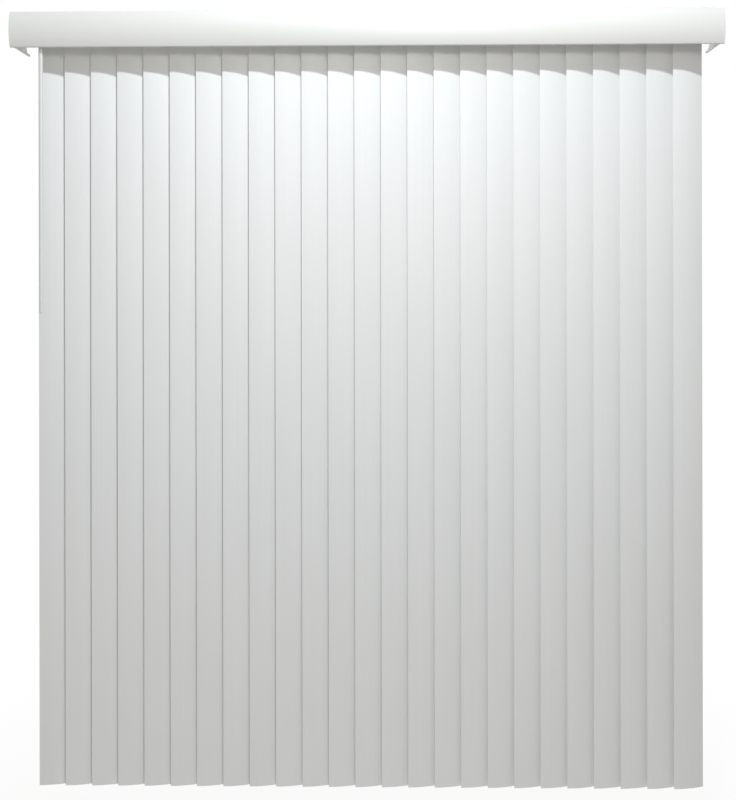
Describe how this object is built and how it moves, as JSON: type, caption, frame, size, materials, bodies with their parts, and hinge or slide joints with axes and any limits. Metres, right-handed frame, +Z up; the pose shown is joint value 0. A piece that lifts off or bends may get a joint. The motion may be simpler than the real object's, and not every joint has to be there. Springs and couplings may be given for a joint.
{
  "type": "vertical blind",
  "caption": "Wall-hung vertical blind: a headrail behind a crowned valance, with curved vanes that turn and draw aside by a hanging wand.",
  "frame": {"origin": "on the wall, midway between the two screw holes of the centre wall bracket", "axes": "+X along the rail to the right as seen from the room, +Y back to the wall, +Z up"},
  "size_m": [2.02, 0.14, 2.2256],
  "materials": {
    "vane_white": "smooth satin vinyl",
    "valance_white": "smooth satin vinyl",
    "rail_white": "white powder coat",
    "carrier_plastic": "moulded",
    "fitting_white": "moulded",
    "clip_clear": "translucent moulded",
    "wand_white": "smooth",
    "rod_metal": "extruded",
    "bracket_steel": "zinc plated"
  },
  "bodies": {
    "rail": {"headrail": "rail_white", "end_caps": "fitting_white", "valance_face": "valance_white", "valance_return_left": "valance_white", "valance_return_right": "valance_white", "valance_clips": "clip_clear", "wall_brackets": "bracket_steel", "carrier_25": "carrier_plastic"},
    "tilt_rod": {"tilt_rod": "rod_metal"},
    "wand_shaft": {"wand_shaft": "fitting_white"},
    "wand": {"wand": "wand_white"},
    "carriage_01": {"carrier_01": "carrier_plastic"},
    "carriage_02": {"carrier_02": "carrier_plastic"},
    "carriage_03": {"carrier_03": "carrier_plastic"},
    "carriage_04": {"carrier_04": "carrier_plastic"},
    "carriage_05": {"carrier_05": "carrier_plastic"},
    "carriage_06": {"carrier_06": "carrier_plastic"},
    "carriage_07": {"carrier_07": "carrier_plastic"},
    "carriage_08": {"carrier_08": "carrier_plastic"},
    "carriage_09": {"carrier_09": "carrier_plastic"},
    "carriage_10": {"carrier_10": "carrier_plastic"},
    "carriage_11": {"carrier_11": "carrier_plastic"},
    "carriage_12": {"carrier_12": "carrier_plastic"},
    "carriage_13": {"carrier_13": "carrier_plastic"},
    "carriage_14": {"carrier_14": "carrier_plastic"},
    "carriage_15": {"carrier_15": "carrier_plastic"},
    "carriage_16": {"carrier_16": "carrier_plastic"},
    "carriage_17": {"carrier_17": "carrier_plastic"},
    "carriage_18": {"carrier_18": "carrier_plastic"},
    "carriage_19": {"carrier_19": "carrier_plastic"},
    "carriage_20": {"carrier_20": "carrier_plastic"},
    "carriage_21": {"carrier_21": "carrier_plastic"},
    "carriage_22": {"carrier_22": "carrier_plastic"},
    "carriage_23": {"carrier_23": "carrier_plastic"},
    "carriage_24": {"carrier_24": "carrier_plastic"},
    "vane_01": {"vane_01": "vane_white"},
    "vane_02": {"vane_02": "vane_white"},
    "vane_03": {"vane_03": "vane_white"},
    "vane_04": {"vane_04": "vane_white"},
    "vane_05": {"vane_05": "vane_white"},
    "vane_06": {"vane_06": "vane_white"},
    "vane_07": {"vane_07": "vane_white"},
    "vane_08": {"vane_08": "vane_white"},
    "vane_09": {"vane_09": "vane_white"},
    "vane_10": {"vane_10": "vane_white"},
    "vane_11": {"vane_11": "vane_white"},
    "vane_12": {"vane_12": "vane_white"},
    "vane_13": {"vane_13": "vane_white"},
    "vane_14": {"vane_14": "vane_white"},
    "vane_15": {"vane_15": "vane_white"},
    "vane_16": {"vane_16": "vane_white"},
    "vane_17": {"vane_17": "vane_white"},
    "vane_18": {"vane_18": "vane_white"},
    "vane_19": {"vane_19": "vane_white"},
    "vane_20": {"vane_20": "vane_white"},
    "vane_21": {"vane_21": "vane_white"},
    "vane_22": {"vane_22": "vane_white"},
    "vane_23": {"vane_23": "vane_white"},
    "vane_24": {"vane_24": "vane_white"},
    "vane_25": {"vane_25": "vane_white"}
  },
  "joints": [
    {"name": "draw_01", "type": "slide", "parent": "rail", "child": "carriage_01", "axis": [1, 0, 0], "range_m": [0, 1.3968]},
    {"name": "draw_02", "type": "slide", "parent": "rail", "child": "carriage_02", "axis": [1, 0, 0], "range_m": [0, 1.3386]},
    {"name": "draw_03", "type": "slide", "parent": "rail", "child": "carriage_03", "axis": [1, 0, 0], "range_m": [0, 1.2804]},
    {"name": "draw_04", "type": "slide", "parent": "rail", "child": "carriage_04", "axis": [1, 0, 0], "range_m": [0, 1.2222]},
    {"name": "draw_05", "type": "slide", "parent": "rail", "child": "carriage_05", "axis": [1, 0, 0], "range_m": [0, 1.164]},
    {"name": "draw_06", "type": "slide", "parent": "rail", "child": "carriage_06", "axis": [1, 0, 0], "range_m": [0, 1.1058]},
    {"name": "draw_07", "type": "slide", "parent": "rail", "child": "carriage_07", "axis": [1, 0, 0], "range_m": [0, 1.0476]},
    {"name": "draw_08", "type": "slide", "parent": "rail", "child": "carriage_08", "axis": [1, 0, 0], "range_m": [0, 0.9894]},
    {"name": "draw_09", "type": "slide", "parent": "rail", "child": "carriage_09", "axis": [1, 0, 0], "range_m": [0, 0.9312]},
    {"name": "draw_10", "type": "slide", "parent": "rail", "child": "carriage_10", "axis": [1, 0, 0], "range_m": [0, 0.873]},
    {"name": "draw_11", "type": "slide", "parent": "rail", "child": "carriage_11", "axis": [1, 0, 0], "range_m": [0, 0.8148]},
    {"name": "draw_12", "type": "slide", "parent": "rail", "child": "carriage_12", "axis": [1, 0, 0], "range_m": [0, 0.7566]},
    {"name": "draw_13", "type": "slide", "parent": "rail", "child": "carriage_13", "axis": [1, 0, 0], "range_m": [0, 0.6984]},
    {"name": "draw_14", "type": "slide", "parent": "rail", "child": "carriage_14", "axis": [1, 0, 0], "range_m": [0, 0.6402]},
    {"name": "draw_15", "type": "slide", "parent": "rail", "child": "carriage_15", "axis": [1, 0, 0], "range_m": [0, 0.582]},
    {"name": "draw_16", "type": "slide", "parent": "rail", "child": "carriage_16", "axis": [1, 0, 0], "range_m": [0, 0.5238]},
    {"name": "draw_17", "type": "slide", "parent": "rail", "child": "carriage_17", "axis": [1, 0, 0], "range_m": [0, 0.4656]},
    {"name": "draw_18", "type": "slide", "parent": "rail", "child": "carriage_18", "axis": [1, 0, 0], "range_m": [0, 0.4074]},
    {"name": "draw_19", "type": "slide", "parent": "rail", "child": "carriage_19", "axis": [1, 0, 0], "range_m": [0, 0.3492]},
    {"name": "draw_20", "type": "slide", "parent": "rail", "child": "carriage_20", "axis": [1, 0, 0], "range_m": [0, 0.291]},
    {"name": "draw_21", "type": "slide", "parent": "rail", "child": "carriage_21", "axis": [1, 0, 0], "range_m": [0, 0.2328]},
    {"name": "draw_22", "type": "slide", "parent": "rail", "child": "carriage_22", "axis": [1, 0, 0], "range_m": [0, 0.1746]},
    {"name": "draw_23", "type": "slide", "parent": "rail", "child": "carriage_23", "axis": [1, 0, 0], "range_m": [0, 0.1164]},
    {"name": "draw_24", "type": "slide", "parent": "rail", "child": "carriage_24", "axis": [1, 0, 0], "range_m": [0, 0.0582]},
    {"name": "tilt_01", "type": "hinge", "parent": "carriage_01", "child": "vane_01", "pos_m": [-0.903, -0.064, -0.008], "axis": [0, 0, 1], "range_deg": [0, 157]},
    {"name": "tilt_02", "type": "hinge", "parent": "carriage_02", "child": "vane_02", "pos_m": [-0.8268, -0.064, -0.008], "axis": [0, 0, 1], "range_deg": [0, 157]},
    {"name": "tilt_03", "type": "hinge", "parent": "carriage_03", "child": "vane_03", "pos_m": [-0.7506, -0.064, -0.008], "axis": [0, 0, 1], "range_deg": [0, 157]},
    {"name": "tilt_04", "type": "hinge", "parent": "carriage_04", "child": "vane_04", "pos_m": [-0.6744, -0.064, -0.008], "axis": [0, 0, 1], "range_deg": [0, 157]},
    {"name": "tilt_05", "type": "hinge", "parent": "carriage_05", "child": "vane_05", "pos_m": [-0.5982, -0.064, -0.008], "axis": [0, 0, 1], "range_deg": [0, 157]},
    {"name": "tilt_06", "type": "hinge", "parent": "carriage_06", "child": "vane_06", "pos_m": [-0.522, -0.064, -0.008], "axis": [0, 0, 1], "range_deg": [0, 157]},
    {"name": "tilt_07", "type": "hinge", "parent": "carriage_07", "child": "vane_07", "pos_m": [-0.4458, -0.064, -0.008], "axis": [0, 0, 1], "range_deg": [0, 157]},
    {"name": "tilt_08", "type": "hinge", "parent": "carriage_08", "child": "vane_08", "pos_m": [-0.3696, -0.064, -0.008], "axis": [0, 0, 1], "range_deg": [0, 157]},
    {"name": "tilt_09", "type": "hinge", "parent": "carriage_09", "child": "vane_09", "pos_m": [-0.2934, -0.064, -0.008], "axis": [0, 0, 1], "range_deg": [0, 157]},
    {"name": "tilt_10", "type": "hinge", "parent": "carriage_10", "child": "vane_10", "pos_m": [-0.2172, -0.064, -0.008], "axis": [0, 0, 1], "range_deg": [0, 157]},
    {"name": "tilt_11", "type": "hinge", "parent": "carriage_11", "child": "vane_11", "pos_m": [-0.141, -0.064, -0.008], "axis": [0, 0, 1], "range_deg": [0, 157]},
    {"name": "tilt_12", "type": "hinge", "parent": "carriage_12", "child": "vane_12", "pos_m": [-0.0648, -0.064, -0.008], "axis": [0, 0, 1], "range_deg": [0, 157]},
    {"name": "tilt_13", "type": "hinge", "parent": "carriage_13", "child": "vane_13", "pos_m": [0.0114, -0.064, -0.008], "axis": [0, 0, 1], "range_deg": [0, 157]},
    {"name": "tilt_14", "type": "hinge", "parent": "carriage_14", "child": "vane_14", "pos_m": [0.0876, -0.064, -0.008], "axis": [0, 0, 1], "range_deg": [0, 157]},
    {"name": "tilt_15", "type": "hinge", "parent": "carriage_15", "child": "vane_15", "pos_m": [0.1638, -0.064, -0.008], "axis": [0, 0, 1], "range_deg": [0, 157]},
    {"name": "tilt_16", "type": "hinge", "parent": "carriage_16", "child": "vane_16", "pos_m": [0.24, -0.064, -0.008], "axis": [0, 0, 1], "range_deg": [0, 157]},
    {"name": "tilt_17", "type": "hinge", "parent": "carriage_17", "child": "vane_17", "pos_m": [0.3162, -0.064, -0.008], "axis": [0, 0, 1], "range_deg": [0, 157]},
    {"name": "tilt_18", "type": "hinge", "parent": "carriage_18", "child": "vane_18", "pos_m": [0.3924, -0.064, -0.008], "axis": [0, 0, 1], "range_deg": [0, 157]},
    {"name": "tilt_19", "type": "hinge", "parent": "carriage_19", "child": "vane_19", "pos_m": [0.4686, -0.064, -0.008], "axis": [0, 0, 1], "range_deg": [0, 157]},
    {"name": "tilt_20", "type": "hinge", "parent": "carriage_20", "child": "vane_20", "pos_m": [0.5448, -0.064, -0.008], "axis": [0, 0, 1], "range_deg": [0, 157]},
    {"name": "tilt_21", "type": "hinge", "parent": "carriage_21", "child": "vane_21", "pos_m": [0.621, -0.064, -0.008], "axis": [0, 0, 1], "range_deg": [0, 157]},
    {"name": "tilt_22", "type": "hinge", "parent": "carriage_22", "child": "vane_22", "pos_m": [0.6972, -0.064, -0.008], "axis": [0, 0, 1], "range_deg": [0, 157]},
    {"name": "tilt_23", "type": "hinge", "parent": "carriage_23", "child": "vane_23", "pos_m": [0.7734, -0.064, -0.008], "axis": [0, 0, 1], "range_deg": [0, 157]},
    {"name": "tilt_24", "type": "hinge", "parent": "carriage_24", "child": "vane_24", "pos_m": [0.8496, -0.064, -0.008], "axis": [0, 0, 1], "range_deg": [0, 157]},
    {"name": "tilt_25", "type": "hinge", "parent": "rail", "child": "vane_25", "pos_m": [0.9258, -0.064, -0.008], "axis": [0, 0, 1], "range_deg": [0, 157]},
    {"name": "rod_spin", "type": "hinge", "parent": "rail", "child": "tilt_rod", "pos_m": [0, -0.055, 0.009], "axis": [1, 0, 0], "range_deg": [0, 720.01]},
    {"name": "wand_twist", "type": "hinge", "parent": "carriage_01", "child": "wand_shaft", "pos_m": [-0.9275, -0.11, -0.024], "axis": [0, 0, 1], "range_deg": [0, 720.01]},
    {"name": "wand_swing", "type": "hinge", "parent": "wand_shaft", "child": "wand", "pos_m": [-0.9275, -0.11, -0.024], "axis": [-1, 0, 0], "range_deg": [-1.5, 13]}
  ],
  "couplings": [
    {"joint": "draw_02", "follows": "draw_01", "ratio": 0.95833},
    {"joint": "draw_03", "follows": "draw_01", "ratio": 0.91667},
    {"joint": "draw_04", "follows": "draw_01", "ratio": 0.875},
    {"joint": "draw_05", "follows": "draw_01", "ratio": 0.83333},
    {"joint": "draw_06", "follows": "draw_01", "ratio": 0.79167},
    {"joint": "draw_07", "follows": "draw_01", "ratio": 0.75},
    {"joint": "draw_08", "follows": "draw_01", "ratio": 0.70833},
    {"joint": "draw_09", "follows": "draw_01", "ratio": 0.66667},
    {"joint": "draw_10", "follows": "draw_01", "ratio": 0.625},
    {"joint": "draw_11", "follows": "draw_01", "ratio": 0.58333},
    {"joint": "draw_12", "follows": "draw_01", "ratio": 0.54167},
    {"joint": "draw_13", "follows": "draw_01", "ratio": 0.5},
    {"joint": "draw_14", "follows": "draw_01", "ratio": 0.45833},
    {"joint": "draw_15", "follows": "draw_01", "ratio": 0.41667},
    {"joint": "draw_16", "follows": "draw_01", "ratio": 0.375},
    {"joint": "draw_17", "follows": "draw_01", "ratio": 0.33333},
    {"joint": "draw_18", "follows": "draw_01", "ratio": 0.29167},
    {"joint": "draw_19", "follows": "draw_01", "ratio": 0.25},
    {"joint": "draw_20", "follows": "draw_01", "ratio": 0.20833},
    {"joint": "draw_21", "follows": "draw_01", "ratio": 0.16667},
    {"joint": "draw_22", "follows": "draw_01", "ratio": 0.125},
    {"joint": "draw_23", "follows": "draw_01", "ratio": 0.083333},
    {"joint": "draw_24", "follows": "draw_01", "ratio": 0.041667},
    {"joint": "tilt_02", "follows": "tilt_01", "ratio": 1},
    {"joint": "tilt_03", "follows": "tilt_01", "ratio": 1},
    {"joint": "tilt_04", "follows": "tilt_01", "ratio": 1},
    {"joint": "tilt_05", "follows": "tilt_01", "ratio": 1},
    {"joint": "tilt_06", "follows": "tilt_01", "ratio": 1},
    {"joint": "tilt_07", "follows": "tilt_01", "ratio": 1},
    {"joint": "tilt_08", "follows": "tilt_01", "ratio": 1},
    {"joint": "tilt_09", "follows": "tilt_01", "ratio": 1},
    {"joint": "tilt_10", "follows": "tilt_01", "ratio": 1},
    {"joint": "tilt_11", "follows": "tilt_01", "ratio": 1},
    {"joint": "tilt_12", "follows": "tilt_01", "ratio": 1},
    {"joint": "tilt_13", "follows": "tilt_01", "ratio": 1},
    {"joint": "tilt_14", "follows": "tilt_01", "ratio": 1},
    {"joint": "tilt_15", "follows": "tilt_01", "ratio": 1},
    {"joint": "tilt_16", "follows": "tilt_01", "ratio": 1},
    {"joint": "tilt_17", "follows": "tilt_01", "ratio": 1},
    {"joint": "tilt_18", "follows": "tilt_01", "ratio": 1},
    {"joint": "tilt_19", "follows": "tilt_01", "ratio": 1},
    {"joint": "tilt_20", "follows": "tilt_01", "ratio": 1},
    {"joint": "tilt_21", "follows": "tilt_01", "ratio": 1},
    {"joint": "tilt_22", "follows": "tilt_01", "ratio": 1},
    {"joint": "tilt_23", "follows": "tilt_01", "ratio": 1},
    {"joint": "tilt_24", "follows": "tilt_01", "ratio": 1},
    {"joint": "tilt_25", "follows": "tilt_01", "ratio": 1},
    {"joint": "rod_spin", "follows": "tilt_01", "ratio": 4.586},
    {"joint": "wand_twist", "follows": "tilt_01", "ratio": 4.586}
  ]
}
